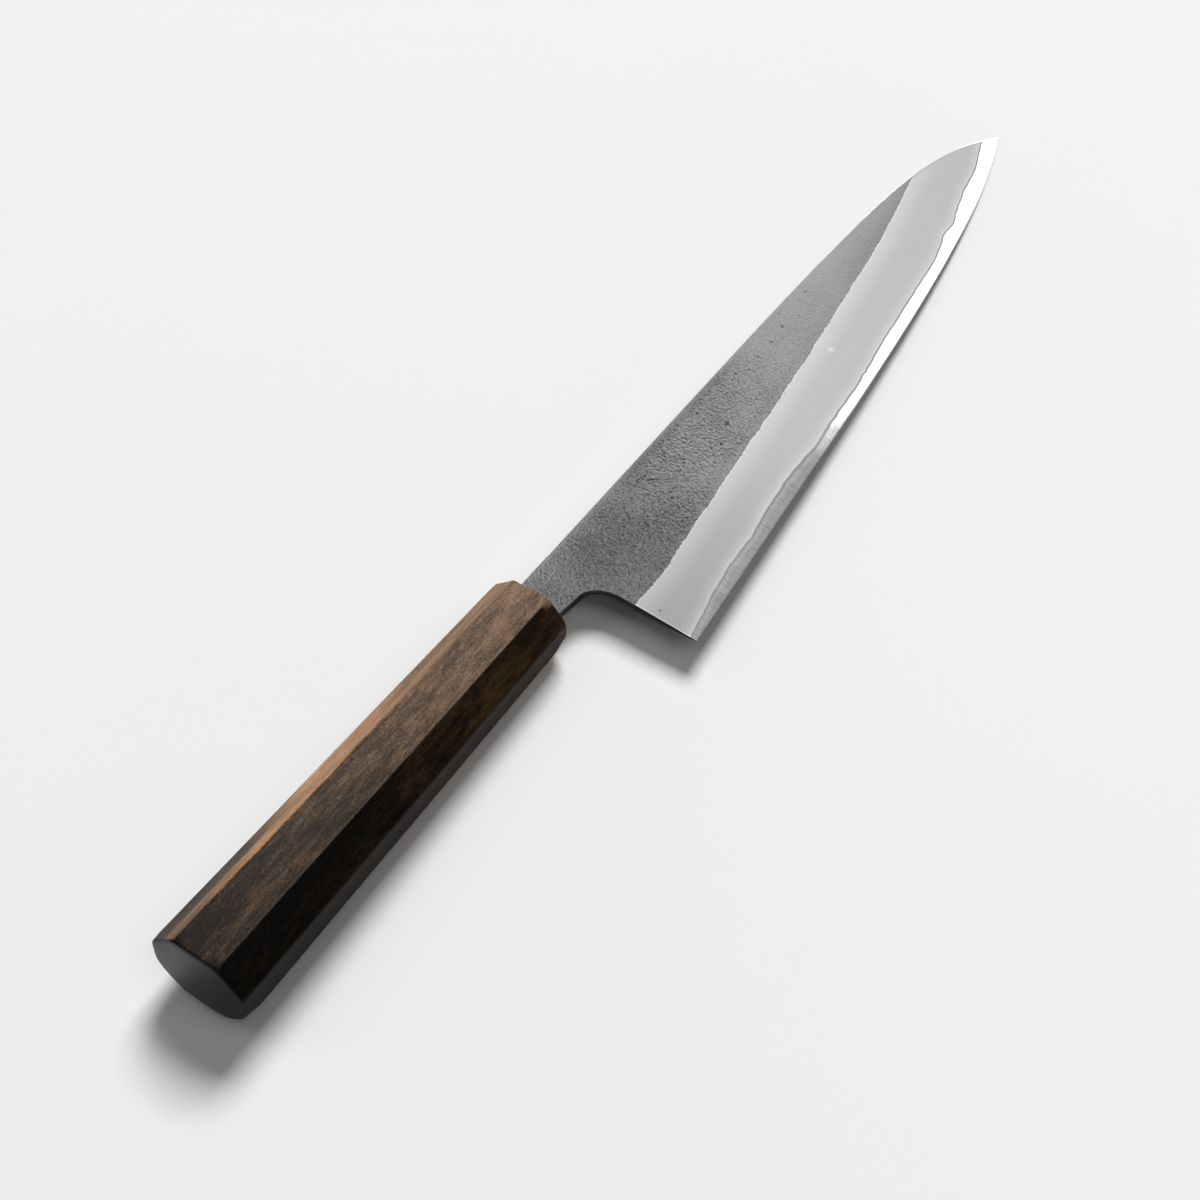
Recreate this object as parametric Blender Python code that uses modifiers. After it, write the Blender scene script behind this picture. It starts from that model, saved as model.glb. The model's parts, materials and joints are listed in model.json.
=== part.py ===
"""Chef knife, gyuto pattern: a three-layer forged blade with a hidden tang in a one-piece octagonal handle.

Everything is modelled in the knife's own frame and then laid on its left side by one empty:
+X runs from the handle to the tip, +Y to the spine, +Z out of the right face, and the origin is
the centre of the handle's front face. Lengths are metres.
"""

import math

import bmesh
import bpy
import numpy as np
from mathutils import Vector

# Blade outline, seen from the right face
BLADE_LENGTH = 0.240        # heel to tip, along the handle's axis
HEEL_REACH = 0.0172         # from the handle's front face to the heel
HEEL_DEPTH = 0.0412         # heel below the handle's axis
TIP_DEPTH = 0.01135         # tip below the handle's axis
SPINE_HEIGHT = 0.00695      # straight part of the spine above the axis
SPINE_SLOW_FALL = 0.0063    # drop of the spine that builds up along the blade
SPINE_SLOW_POWER = 5
SPINE_TIP_POWER = 15        # the rest of the drop comes in the last few centimetres
EDGE_PITCH_RISE = 0.0190    # rise of the edge's straight line from heel to tip
EDGE_BELLY_POWER = 5.5      # the rest of the rise is the belly

# Neck, choil and tang
NECK_DEPTH = 0.0066         # underside of the neck below the axis, at the handle
NECK_FALL = 0.0012          # drop of that underside to where the choil's curve starts
CHOIL_REACH = 0.0065        # quarter ellipse between the neck and the straight heel
CHOIL_DROP = 0.0092
SHOULDER_INSET = 0.0022     # the shoulders sit this far inside the handle
SHOULDER_RUN = 0.0008
TANG_ROOT_HEIGHT = 0.0100
TANG_END_HEIGHT = 0.0060

# Section of the blade
SPINE_THICKNESS = 0.0032    # at the handle
TIP_THICKNESS = 0.00104     # what the same taper leaves at the tip
FLAT_TAPER = 0.0070         # loss of half thickness for each unit of height down from the spine
SPINE_ARRIS = 0.00035       # small chamfer along the spine
TANG_END_THICKNESS = 0.0018
BEVEL_WIDTH_HEEL = 0.0186   # from the edge to the line where the flat starts
BEVEL_WIDTH_TIP = 0.0240
BEVEL_CONVEXITY = 0.80      # 1 is a plane bevel, less is a convex one
CUTTING_BEVEL_WIDTH = 0.0006
CUTTING_BEVEL_BASE = 0.00028
EDGE_LAND = 0.00004
WELD_GAP = 0.00005          # clearance kept between the layers
WELD_LIP = 0.00005          # thickness at which a cladding runs out

# Weld line: where the core steel comes out from under the claddings
WELD_LINE_HEEL = 0.0034     # distance from the edge
WELD_LINE_TIP = 0.0056
WELD_WAVES = (              # height, waves along the blade, phase in turns
    (0.00042, 1.5, 0.86),
    (0.00040, 3.4, 0.55),
    (0.00028, 6.0, 0.10),
)

# Handle
HANDLE_LENGTH = 0.132
BUTT_HEIGHT = 0.0275        # along Y
BUTT_THICKNESS = 0.0230     # along Z
BUTT_CHAMFER = 0.0070
FRONT_HEIGHT = 0.0233
FRONT_THICKNESS = 0.0193
FRONT_CHAMFER = 0.0059
RIM_ROUNDING = 0.0013
ARRIS_SHARE = 0.25          # rounding of the long arrises, as a share of the rims'

# Inside the handle
BORE_RADIUS = 0.0075
BUTT_WALL = 0.024           # wood left behind the bore
DOWEL_END = 0.013           # dowel left behind the tang
FIT_GAP = 0.0003            # between pieces that only touch
GLUE_GAP = 0.0002           # between the adhesive and what it holds
SLOT_CLEARANCE = 0.0010     # from the tang to the walls of the dowel's slot
MOUTH_CLEARANCE = 0.0011    # from the neck to the walls of the handle's mouth
MOUTH_DEPTH = 0.0030
SEAL_PROUD = 0.0008         # the seal stands this far out of the mouth
SEAL_ROUNDING = 0.0004

BLADE_STATIONS = 44
CHOIL_STATIONS = 8
HEEL_X = HEEL_REACH
TIP_X = HEEL_REACH + BLADE_LENGTH
BORE_DEPTH = HANDLE_LENGTH - BUTT_WALL
TANG_LENGTH = BORE_DEPTH - DOWEL_END
TANG_END_X = -TANG_LENGTH


def clear_scene():
    for obj in list(bpy.data.objects):
        bpy.data.objects.remove(obj, do_unlink=True)


# ---------------------------------------------------------------- blade outline and section


def spine_y(x):
    """Straight, less a slow fall along the blade and a steep one at the tip."""
    share = np.clip(x / TIP_X, 0.0, 1.0)
    tip_fall = SPINE_HEIGHT + TIP_DEPTH - SPINE_SLOW_FALL
    return SPINE_HEIGHT - SPINE_SLOW_FALL * share**SPINE_SLOW_POWER - tip_fall * share**SPINE_TIP_POWER


def edge_y(x):
    """A line pitched up from the heel, plus the belly's power curve."""
    share = np.clip((x - HEEL_X) / BLADE_LENGTH, 0.0, 1.0)
    belly = HEEL_DEPTH - TIP_DEPTH - EDGE_PITCH_RISE
    return -HEEL_DEPTH + EDGE_PITCH_RISE * share + belly * share**EDGE_BELLY_POWER


def bevel_width(x):
    share = np.clip((x - HEEL_X) / BLADE_LENGTH, 0.0, 1.0)
    return BEVEL_WIDTH_HEEL + (BEVEL_WIDTH_TIP - BEVEL_WIDTH_HEEL) * share


def weld_line_offset(x):
    """Distance of the weld line from the edge: a slow growth with a few waves on it."""
    share = np.clip((x - HEEL_X) / BLADE_LENGTH, 0.0, 1.0)
    offset = WELD_LINE_HEEL + (WELD_LINE_TIP - WELD_LINE_HEEL) * share
    for height, waves, phase in WELD_WAVES:
        offset = offset + height * np.sin(2 * math.pi * (waves * share + phase))
    return offset


def flat_half(x, y):
    """Half thickness on the flat: a plane that falls to the tip and down from the spine."""
    along = np.maximum(x, 0.0) / TIP_X
    spine = (SPINE_THICKNESS + (TIP_THICKNESS - SPINE_THICKNESS) * along) / 2
    tang_loss = (SPINE_THICKNESS - TANG_END_THICKNESS) / 2 * np.minimum(x, 0.0) / TANG_LENGTH
    return spine + tang_loss - FLAT_TAPER * (SPINE_HEIGHT - y)


def bevel_half(x, distance):
    """Half thickness on the ground bevel, at a distance up from the edge."""
    width = bevel_width(x)
    full = flat_half(x, edge_y(x) + width)
    base = CUTTING_BEVEL_BASE / 2
    share = np.clip((distance - CUTTING_BEVEL_WIDTH) / (width - CUTTING_BEVEL_WIDTH), 0.0, 1.0)
    return base + (full - base) * share**BEVEL_CONVEXITY


def core_half(x):
    """Half thickness of the core layer: what makes the weld line come out where it does."""
    x = np.clip(x, HEEL_X, weld_meets_spine())
    mean_offset = WELD_LINE_HEEL + (WELD_LINE_TIP - WELD_LINE_HEEL) * (x - HEEL_X) / BLADE_LENGTH
    least = mean_offset - sum(height for height, _, _ in WELD_WAVES)
    return bevel_half(x, least) - WELD_GAP - WELD_LIP


def meeting_x(rise):
    """Where a line at a height above the edge, given as a function of x, meets the spine."""
    low, high = HEEL_X + BLADE_LENGTH / 2, TIP_X
    for _ in range(50):
        middle = (low + high) / 2
        if edge_y(middle) + rise(middle) < spine_y(middle):
            low = middle
        else:
            high = middle
    return (low + high) / 2


def weld_meets_spine():
    return meeting_x(weld_line_offset)


def stations():
    """Pairs of x along the spine and (x, y) along the underside, from the tang's end to the tip."""
    tang = [(TANG_END_X, TANG_END_HEIGHT / 2), (-SHOULDER_INSET - SHOULDER_RUN, TANG_ROOT_HEIGHT / 2)]
    upper = [(x, half) for x, half in tang]
    lower = [(x, -half) for x, half in tang]
    choil_x = HEEL_X - CHOIL_REACH
    for x in (-SHOULDER_INSET, 0.0, choil_x / 2):
        upper.append((x, spine_y(x)))
        lower.append((x, -NECK_DEPTH - NECK_FALL * max(x, 0.0) / choil_x))
    centre_y = -NECK_DEPTH - NECK_FALL - CHOIL_DROP
    for angle in np.linspace(math.pi / 2, 0.0, CHOIL_STATIONS):
        x = choil_x + CHOIL_REACH * math.cos(angle)
        lower.append((x, centre_y + CHOIL_DROP * math.sin(angle)))
        upper.append((x, spine_y(x)))
    return np.array(upper), np.array(lower)


def blade_rows(end_x, flat_shares, bevel_shares, weld_shares):
    """A grid of points on the blade, one row from the spine down to the edge for each station.

    Before the heel all the rows below the flat lie on the underside. From the heel on, the rows
    follow the spine, the line where the bevel starts, the weld line and the edge, and past the
    place where a line meets the spine it runs along the spine. Each point is x, y, its distance
    from the edge, and whether it is on the flat.
    """
    upper, lower = stations()
    share = np.linspace(0.0, 1.0, BLADE_STATIONS)
    x = HEEL_X + (end_x - HEEL_X) * (1 - (1 - share) ** 1.35)
    top = spine_y(x)
    edge = edge_y(x)
    grind = np.minimum(edge + bevel_width(x), top)
    weld = np.minimum(edge + weld_line_offset(x), top)
    flat = np.array(flat_shares)
    rows = []
    for (ux, uy), (lx, ly) in zip(upper, lower):
        xs = ux + (lx - ux) * flat
        ys = uy + (ly - uy) * flat
        fill = len(bevel_shares) + len(weld_shares)
        rows.append(np.column_stack([np.append(xs, [lx] * fill), np.append(ys, [ly] * fill)]))
    rows.append(rows[-1].copy())
    corner_y = grind[0]
    rows[-1][:, 1] = spine_y(HEEL_X) + (corner_y - spine_y(HEEL_X)) * np.append(flat, [1.0] * fill)
    for i in range(BLADE_STATIONS):
        ys = np.concatenate(
            [
                top[i] + (grind[i] - top[i]) * flat,
                grind[i] + (weld[i] - grind[i]) * np.array(bevel_shares),
                weld[i] + (edge[i] - weld[i]) * np.array(weld_shares),
            ]
        )
        rows.append(np.column_stack([np.full(len(ys), x[i]), ys]))
    return np.array(rows)


# ---------------------------------------------------------------- mesh helpers


def object_from(bm, name, collection, material=None):
    mesh = bpy.data.meshes.new(name)
    bm.to_mesh(mesh)
    bm.free()
    obj = bpy.data.objects.new(name, mesh)
    collection.objects.link(obj)
    if material is not None:
        mesh.materials.append(material)
    return obj


def plate(name, points, top_z, bottom_z, collection, material):
    """A closed plate over a grid of outline points, with its own height at each point."""
    count, width = points.shape[:2]
    bm = bmesh.new()
    sheets = []
    for heights in (top_z, bottom_z):
        sheets.append(
            [
                [bm.verts.new((*points[i, j], heights[i, j])) for j in range(width)]
                for i in range(count)
            ]
        )
    top, bottom = sheets
    for i in range(count - 1):
        for j in range(width - 1):
            bm.faces.new((top[i][j], top[i][j + 1], top[i + 1][j + 1], top[i + 1][j]))
            bm.faces.new((bottom[i][j], bottom[i + 1][j], bottom[i + 1][j + 1], bottom[i][j + 1]))
    around = [(i, 0) for i in range(count)] + [(count - 1, j) for j in range(1, width)]
    around += [(i, width - 1) for i in range(count - 2, -1, -1)] + [(0, j) for j in range(width - 2, 0, -1)]
    for (i, j), (k, m) in zip(around, around[1:] + around[:1]):
        bm.faces.new((top[i][j], top[k][m], bottom[k][m], bottom[i][j]))
    bmesh.ops.remove_doubles(bm, verts=bm.verts, dist=1e-7)
    bmesh.ops.recalc_face_normals(bm, faces=bm.faces)
    obj = object_from(bm, name, collection, material)
    obj.data.shade_smooth()
    obj.data.set_sharp_from_angle(angle=math.radians(8))
    return obj


def loft(name, sections, collection, material=None, rims=0.0, arrises=0.0):
    """A solid through sections with the same number of corners, with bevel weights on its edges."""
    bm = bmesh.new()
    weights = bm.edges.layers.float.new("bevel_weight_edge")
    loops = [[bm.verts.new(point) for point in section] for section in sections]
    corners = len(loops[0])
    for near, far in zip(loops, loops[1:]):
        for i in range(corners):
            k = (i + 1) % corners
            bm.faces.new((near[i], near[k], far[k], far[i]))
            bm.edges.get((near[i], far[i]))[weights] = arrises
    for loop in (loops[0], loops[-1]):
        bm.faces.new(loop)
        for i in range(corners):
            bm.edges.get((loop[i], loop[(i + 1) % corners]))[weights] = rims
    bmesh.ops.recalc_face_normals(bm, faces=bm.faces)
    return object_from(bm, name, collection, material)


def octagon(x, height, thickness, chamfer):
    """Corners of a rectangle with its four corners cut off at 45 degrees, in a plane of constant x."""
    h, t = height / 2, thickness / 2
    quarter = [(h, t - chamfer), (h - chamfer, t)]
    corners = quarter + [(-y, z) for y, z in reversed(quarter)]
    corners += [(-y, -z) for y, z in quarter] + [(y, -z) for y, z in reversed(quarter)]
    return [(x, y, z) for y, z in corners]


def rectangle(x, height, thickness, middle=0.0):
    h, t = height / 2, thickness / 2
    return [(x, middle + h, t), (x, middle - h, t), (x, middle - h, -t), (x, middle + h, -t)]


def rod(name, radius, start_x, end_x, collection, material=None, segments=48):
    """A cylinder along the handle's axis."""
    bm = bmesh.new()
    bmesh.ops.create_cone(
        bm, cap_ends=True, segments=segments, radius1=radius, radius2=radius, depth=end_x - start_x
    )
    bmesh.ops.rotate(bm, verts=bm.verts, cent=(0, 0, 0), matrix=quarter_turn())
    bmesh.ops.translate(bm, verts=bm.verts, vec=((start_x + end_x) / 2, 0, 0))
    return object_from(bm, name, collection, material)


def quarter_turn():
    return Vector((0, 0, 1)).rotation_difference(Vector((1, 0, 0))).to_matrix()


def cutter(obj):
    obj.hide_render = True
    obj.display_type = "WIRE"
    return obj


def cut(obj, tool):
    modifier = obj.modifiers.new("cut " + tool.name, "BOOLEAN")
    modifier.operation = "DIFFERENCE"
    modifier.solver = "EXACT"
    modifier.object = tool


def round_edges(obj, width, segments):
    """Rounds the edges that carry a bevel weight."""
    modifier = obj.modifiers.new("rounding", "BEVEL")
    modifier.limit_method = "WEIGHT"
    modifier.width = width
    modifier.segments = segments


def material(name, colour, roughness, metallic):
    made = bpy.data.materials.new(name)
    made.use_nodes = True
    shader = made.node_tree.nodes["Principled BSDF"]
    shader.inputs["Base Color"].default_value = (*colour, 1.0)
    shader.inputs["Roughness"].default_value = roughness
    shader.inputs["Metallic"].default_value = metallic
    return made


# ---------------------------------------------------------------- pieces


def core_steel(parts):
    """The hard middle layer: a thin plate whose lower border is ground to the cutting edge."""
    points = blade_rows(TIP_X, (0.0, 0.5, 1.0), (0.5, 1.0), (0.45, 0.86, 1.0))
    x, y = points[..., 0], points[..., 1]
    half = np.minimum(core_half(x), bevel_half(x, y - edge_y(x)))
    cutting = (y - edge_y(x)) / CUTTING_BEVEL_WIDTH
    cutting_half = EDGE_LAND / 2 + (CUTTING_BEVEL_BASE - EDGE_LAND) / 2 * np.clip(cutting, 0.0, 1.0)
    half = np.where((x >= HEEL_X - 1e-9) & (cutting < 1.0), cutting_half, half)
    half = np.where(x < HEEL_X - 1e-9, core_half(HEEL_X), half)
    shade = material("core_steel", (0.62, 0.63, 0.64), 0.28, 1.0)
    return plate("core_steel", points, half, -half, parts, shade)


def cladding(name, side, parts):
    """A soft outer layer, from the spine to the weld line; side is 1 for the right face."""
    points = blade_rows(weld_meets_spine(), (0.0, 0.03, 0.5, 1.0), (0.3, 0.65, 1.0), ())
    x, y = points[..., 0], points[..., 1]
    outer = flat_half(x, y)
    after_heel = x >= HEEL_X - 1e-9
    ground = bevel_half(x, y - edge_y(x))
    outer = np.where(after_heel, np.minimum(outer, ground), outer)
    outer[:, 0] -= np.minimum(SPINE_ARRIS, (outer[:, 0] - core_half(x[:, 0])) / 3)
    inner = np.where(after_heel, core_half(x), core_half(HEEL_X)) + WELD_GAP
    outer = np.maximum(outer, inner + WELD_LIP)
    shade = material(name, (0.23, 0.23, 0.24), 0.5, 1.0)
    if side > 0:
        return plate(name, points, outer, inner, parts, shade)
    return plate(name, points, -inner, -outer, parts, shade)


def neck_section(x, clearance):
    """The neck's rectangle at the mouth, grown by a clearance all round."""
    height = SPINE_HEIGHT + NECK_DEPTH
    middle = (SPINE_HEIGHT - NECK_DEPTH) / 2
    return rectangle(x, height + 2 * clearance, SPINE_THICKNESS + 2 * clearance, middle)


def tang_block(name, grow, start_x, end_x, collection, shade=None):
    """The tang's tapered block between two places, grown by a distance all round."""
    sections = []
    for x in (start_x, end_x):
        share = -x / TANG_LENGTH
        height = TANG_ROOT_HEIGHT + (TANG_END_HEIGHT - TANG_ROOT_HEIGHT) * share
        thickness = SPINE_THICKNESS + (TANG_END_THICKNESS - SPINE_THICKNESS) * share
        sections.append(rectangle(x, height + 2 * grow, thickness + 2 * grow))
    return loft(name, sections, collection, shade)


def handle_body(parts, mouth, bore):
    sections = [
        octagon(-HANDLE_LENGTH, BUTT_HEIGHT, BUTT_THICKNESS, BUTT_CHAMFER),
        octagon(0.0, FRONT_HEIGHT, FRONT_THICKNESS, FRONT_CHAMFER),
    ]
    shade = material("handle_body", (0.075, 0.047, 0.032), 0.42, 0.0)
    body = loft("handle_body", sections, parts, shade, rims=1.0, arrises=ARRIS_SHARE)
    round_edges(body, RIM_ROUNDING, 3)
    cut(body, bore)
    cut(body, mouth)
    return body


def tang_dowel(parts, mouth, slot):
    shade = material("tang_dowel", (0.50, 0.36, 0.22), 0.6, 0.0)
    end_x = -BORE_DEPTH + FIT_GAP
    dowel = rod("tang_dowel", BORE_RADIUS - FIT_GAP, end_x, 0.0, parts, shade)
    cut(dowel, slot)
    cut(dowel, mouth)
    return dowel


def tang_adhesive(parts, cutters):
    """A thin sleeve in the dowel's slot, closed behind the tang and open at the mouth."""
    shade = material("tang_adhesive", (0.55, 0.50, 0.36), 0.35, 0.0)
    start_x = -MOUTH_DEPTH - GLUE_GAP
    end_x = TANG_END_X - SLOT_CLEARANCE + GLUE_GAP
    sleeve = tang_block("tang_adhesive", SLOT_CLEARANCE - GLUE_GAP, end_x, start_x, parts, shade)
    hollow = tang_block("tang_space", GLUE_GAP, TANG_END_X - GLUE_GAP, FIT_GAP, cutters)
    cut(sleeve, cutter(hollow))
    return sleeve


def mouth_seal(parts, cutters):
    """A bead round the neck, seated in the mouth and standing a little proud of it."""
    shade = material("mouth_seal", (0.16, 0.19, 0.22), 0.45, 0.0)
    outer = MOUTH_CLEARANCE - GLUE_GAP
    sections = [neck_section(x, outer) for x in (-MOUTH_DEPTH + GLUE_GAP, SEAL_PROUD)]
    seal = loft("mouth_seal", sections, parts, shade, rims=0.5, arrises=1.0)
    round_edges(seal, 2 * SEAL_ROUNDING, 3)
    sections = [neck_section(x, GLUE_GAP) for x in (-2 * MOUTH_DEPTH, 2 * SEAL_PROUD + CHOIL_REACH)]
    hole = loft("neck_space", sections, cutters)
    cut(seal, cutter(hole))
    return seal


def build(parts, cutters):
    sections = [neck_section(x, MOUTH_CLEARANCE) for x in (-MOUTH_DEPTH, MOUTH_DEPTH)]
    mouth = cutter(loft("mouth", sections, cutters))
    bore = cutter(rod("bore", BORE_RADIUS, -BORE_DEPTH, BORE_RADIUS, cutters))
    slot = cutter(tang_block("slot", SLOT_CLEARANCE, TANG_END_X - SLOT_CLEARANCE, MOUTH_DEPTH, cutters))
    return [
        core_steel(parts),
        cladding("cladding_right", 1, parts),
        cladding("cladding_left", -1, parts),
        handle_body(parts, mouth, bore),
        tang_dowel(parts, mouth, slot),
        tang_adhesive(parts, cutters),
        mouth_seal(parts, cutters),
    ]


# ---------------------------------------------------------------- lying on the table


def rest_tilt():
    """Nose-down angle at which the handle's rounded front rim and the tip both touch the table."""
    rim_x = -RIM_ROUNDING
    rim_z = -FRONT_THICKNESS / 2 + RIM_ROUNDING
    along = TIP_X - rim_x
    up = -EDGE_LAND / 2 - rim_z
    return math.atan2(up, along) + math.asin(RIM_ROUNDING / math.hypot(along, up))


def box_of(objects):
    bpy.context.view_layer.update()
    graph = bpy.context.evaluated_depsgraph_get()
    corners = []
    for obj in objects:
        evaluated = obj.evaluated_get(graph)
        mesh = evaluated.to_mesh()
        corners += [evaluated.matrix_world @ vertex.co for vertex in mesh.vertices]
        evaluated.to_mesh_clear()
    points = np.array(corners)
    return points.min(axis=0), points.max(axis=0)


def lay_down(objects, collection):
    """Turns the knife nose-down on its left side, centred over the origin with the table at z = 0."""
    empty = bpy.data.objects.new("knife_on_table", None)
    collection.objects.link(empty)
    for obj in objects + list(bpy.data.collections["cutters"].objects):
        obj.parent = empty
    empty.rotation_euler = (0.0, rest_tilt(), 0.0)
    low, high = box_of(objects)
    empty.location = (-(low[0] + high[0]) / 2, -(low[1] + high[1]) / 2, -low[2])
    bpy.context.view_layer.update()


def main():
    clear_scene()
    parts = bpy.data.collections.new("chef_knife")
    cutters = bpy.data.collections.new("cutters")
    bpy.context.scene.collection.children.link(parts)
    bpy.context.scene.collection.children.link(cutters)
    lay_down(build(parts, cutters), parts)


main()
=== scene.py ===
"""Looks of a chef knife: a forged three-layer blade, and a one-piece octagonal handle of dark stained wood.

Shapes are worked out in the knife's own frame, in millimetres: +X from the handle's front face to
the tip, +Y towards the spine, +Z out of the right face. place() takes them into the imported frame.
"""

import math

import bmesh
import bpy
import numpy as np
from mathutils import Matrix, Vector
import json


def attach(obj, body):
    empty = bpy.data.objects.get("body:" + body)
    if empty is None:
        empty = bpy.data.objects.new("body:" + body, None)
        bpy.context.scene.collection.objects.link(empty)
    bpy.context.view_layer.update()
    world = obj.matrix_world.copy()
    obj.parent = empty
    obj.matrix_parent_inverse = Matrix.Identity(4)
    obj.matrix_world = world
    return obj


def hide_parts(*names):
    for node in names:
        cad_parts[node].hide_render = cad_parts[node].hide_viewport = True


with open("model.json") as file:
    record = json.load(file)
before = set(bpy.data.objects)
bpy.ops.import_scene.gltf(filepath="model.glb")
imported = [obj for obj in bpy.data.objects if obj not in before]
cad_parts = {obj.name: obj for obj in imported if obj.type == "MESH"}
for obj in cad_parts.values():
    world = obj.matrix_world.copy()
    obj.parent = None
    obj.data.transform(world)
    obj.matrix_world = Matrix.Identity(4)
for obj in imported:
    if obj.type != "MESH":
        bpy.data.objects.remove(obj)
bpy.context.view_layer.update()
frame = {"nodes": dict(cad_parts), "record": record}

MM = 0.001
BUTT_MOUNT_OFFSET = 0.5     # the butt's mount lies this far off the handle's axis, both ways

# Blade outline
HEEL_X = 17.2
BLADE_LENGTH = 240.0
TIP_X = HEEL_X + BLADE_LENGTH
HEEL_DEPTH = 41.2
TIP_DEPTH = 11.35
SPINE_HEIGHT = 6.95
SPINE_SLOW_FALL, SPINE_SLOW_POWER, SPINE_TIP_POWER = 6.3, 5, 15
EDGE_PITCH_RISE, EDGE_BELLY_POWER = 19.0, 5.5
NECK_DEPTH, NECK_FALL = 6.6, 1.2
CHOIL_REACH, CHOIL_DROP = 6.5, 9.2
SHOULDER_X, SHOULDER_RUN = -2.2, 0.8
TANG_END_X = -95.0
TANG_ROOT_HALF, TANG_END_HALF = 5.0, 3.0

# Blade section
SPINE_HALF, TIP_HALF, TANG_END_THIN = 1.6, 0.52, 0.7
FLAT_TAPER = 0.0070
BEVEL_WIDTH_HEEL, BEVEL_WIDTH_TIP = 18.4, 24.0
BEVEL_CONVEXITY = 0.80
HEEL_RUN_OFF, HEEL_RUN_OFF_LENGTH = 1.3, 6.0
CUTTING_BEVEL_WIDTH, CUTTING_BEVEL_HALF, EDGE_HALF = 0.6, 0.14, 0.02
SPINE_ROUNDING = 0.45
WELD_GAP = 0.03

# Forged skin: heights of its waves, then the depths of what is cut in
DIMPLES, WRINKLES, COARSE_WAVES, SLOW_WAVES = 0.055, 0.012, 0.020, 0.010
SMALL_PITS = 170
DEEP_PIT_DEPTH, LARGE_PIT_DEPTH, SCRATCH_DEPTH = 0.13, 0.14, 0.09
LARGE_PIT = (88.9, -6.5)
DEEP_PITS = (               # x, y, radius
    (49.8, -10.4, 0.66),
    (63.2, -8.9, 0.48),
    (68.6, 1.9, 0.54),
    (81.2, -9.4, 0.72),
    (87.3, 2.6, 0.48),
    (108.1, 1.9, 0.60),
    (111.9, -0.3, 0.52),
    (125.9, 0.3, 0.56),
    (133.6, 1.0, 0.52),
)
SCRATCHES = (               # x, y at the two ends
    (52.0, 2.1, 60.5, 1.7),
    (56.5, 0.8, 62.3, -6.6),
    (41.5, -4.0, 45.8, 1.4),
    (41.8, -8.8, 47.2, -5.0),
    (55.0, -7.2, 61.0, -8.2),
    (51.0, -1.5, 54.5, -4.4),
)
POLISHED_SPOT = (133.8, -15.8)
NICK = (19.6, -27.9)

# Weld line: distance from the edge, and the swells where the forging wandered
WELD_LINE_HEEL, WELD_LINE_TIP = 2.75, 4.95
WELD_SWELLS = (             # place along the blade, height, half width
    (25, 1.25, 15),
    (52, 1.3, 10),
    (66, 0.95, 9),
    (80.5, -0.6, 6),
    (108, -0.8, 16),
    (152, -0.5, 16),
    (171, -0.7, 10),
    (184, 0.6, 4),
    (191, -0.65, 3.5),
    (206, 0.75, 8),
    (231, 0.65, 5),
)

# Handle
HANDLE_LENGTH = 132.0
BUTT_SECTION = (13.75, 11.5, 7.0)      # half height, half thickness, chamfer
FRONT_SECTION = (11.65, 9.65, 5.9)
CHAMFER_FRONT = FRONT_SECTION[0] + FRONT_SECTION[1] - FRONT_SECTION[2]
CHAMFER_GROWTH = (BUTT_SECTION[0] + BUTT_SECTION[1] - BUTT_SECTION[2] - CHAMFER_FRONT) / HANDLE_LENGTH
FACET_FRONT, FACET_GROWTH = FRONT_SECTION[0], (BUTT_SECTION[0] - FRONT_SECTION[0]) / HANDLE_LENGTH
RIM_ROUNDING, FRONT_ROUNDING = 0.45, 0.22
FACET_CROWN = 0.12
BUTT_DOME, BUTT_CROWN, BUTT_DOME_POWER = 0.15, 0.05, 2.6
BORE_RADIUS, BORE_DEPTH = 7.5, 108.0
MOUTH_HALF_HEIGHT = 7.95

# Fineness of the skins: rings along each, then rows or points across
RIGHT_SEED, LEFT_SEED = 100, 500
RIGHT_FINENESS = (780, 80, 30)         # rings, rows on the flat, rows on the bevel
LEFT_FINENESS = (380, 60, 44)
CORE_RINGS = 520
HANDLE_RINGS, FACET_POINTS = 64, 26

# Room, in metres, degrees and watts
FLOOR_HALF = 41.0
LIGHT_DISTANCE = 12.0
LIGHTS = {                  # azimuth from +X towards +Y, elevation, side, power
    "window": (17, 53, 4.8, 1480),
    "far_window": (-90, 60, 7.2, 200),
    "spine_side_panel": (112, 48, 7.2, 150),
}
GLOW_LOW, GLOW_HIGH = 0.10, 0.36       # heights on a sphere of radius 1 between which the glow fades
GLOW_AT_HORIZON, GLOW_OVERHEAD = 0.62, 0.015

# Camera: it turns about a point on the floor
CAMERA_AZIMUTH, CAMERA_ELEVATION, CAMERA_ROLL = -58.11, 52.74, 2.2
CAMERA_AIM, CAMERA_DISTANCE = (-0.04242, 0.00483, 0.0), 0.52924
SENSOR_WIDTH, LENS = 36.0, 58.5        # millimetres


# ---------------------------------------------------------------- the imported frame


def knife_frame():
    """Turn and origin of the knife's frame, read from the butt's mount."""
    butt = next(m for m in frame["record"]["mounts"] if m["name"] == "butt_face")
    along = -np.array(butt["axis"])
    across = np.array([0.0, 1.0, 0.0])
    turn = np.column_stack([along, across, np.cross(along, across)])
    mount = np.array([-HANDLE_LENGTH, BUTT_MOUNT_OFFSET, BUTT_MOUNT_OFFSET])
    origin = np.array(butt["pos_m"]) / MM - turn @ mount
    return turn, origin


TURN, ORIGIN = knife_frame()


def place(points):
    """Knife-frame millimetres to packed-frame metres."""
    return (np.asarray(points) @ TURN.T + ORIGIN) * MM


# ---------------------------------------------------------------- noise and curves


def ease(low, high, x):
    """Smooth step: 0 below low, 1 above high, a cubic between."""
    t = np.clip((x - low) / (high - low), 0.0, 1.0)
    return t * t * (3 - 2 * t)


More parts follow.
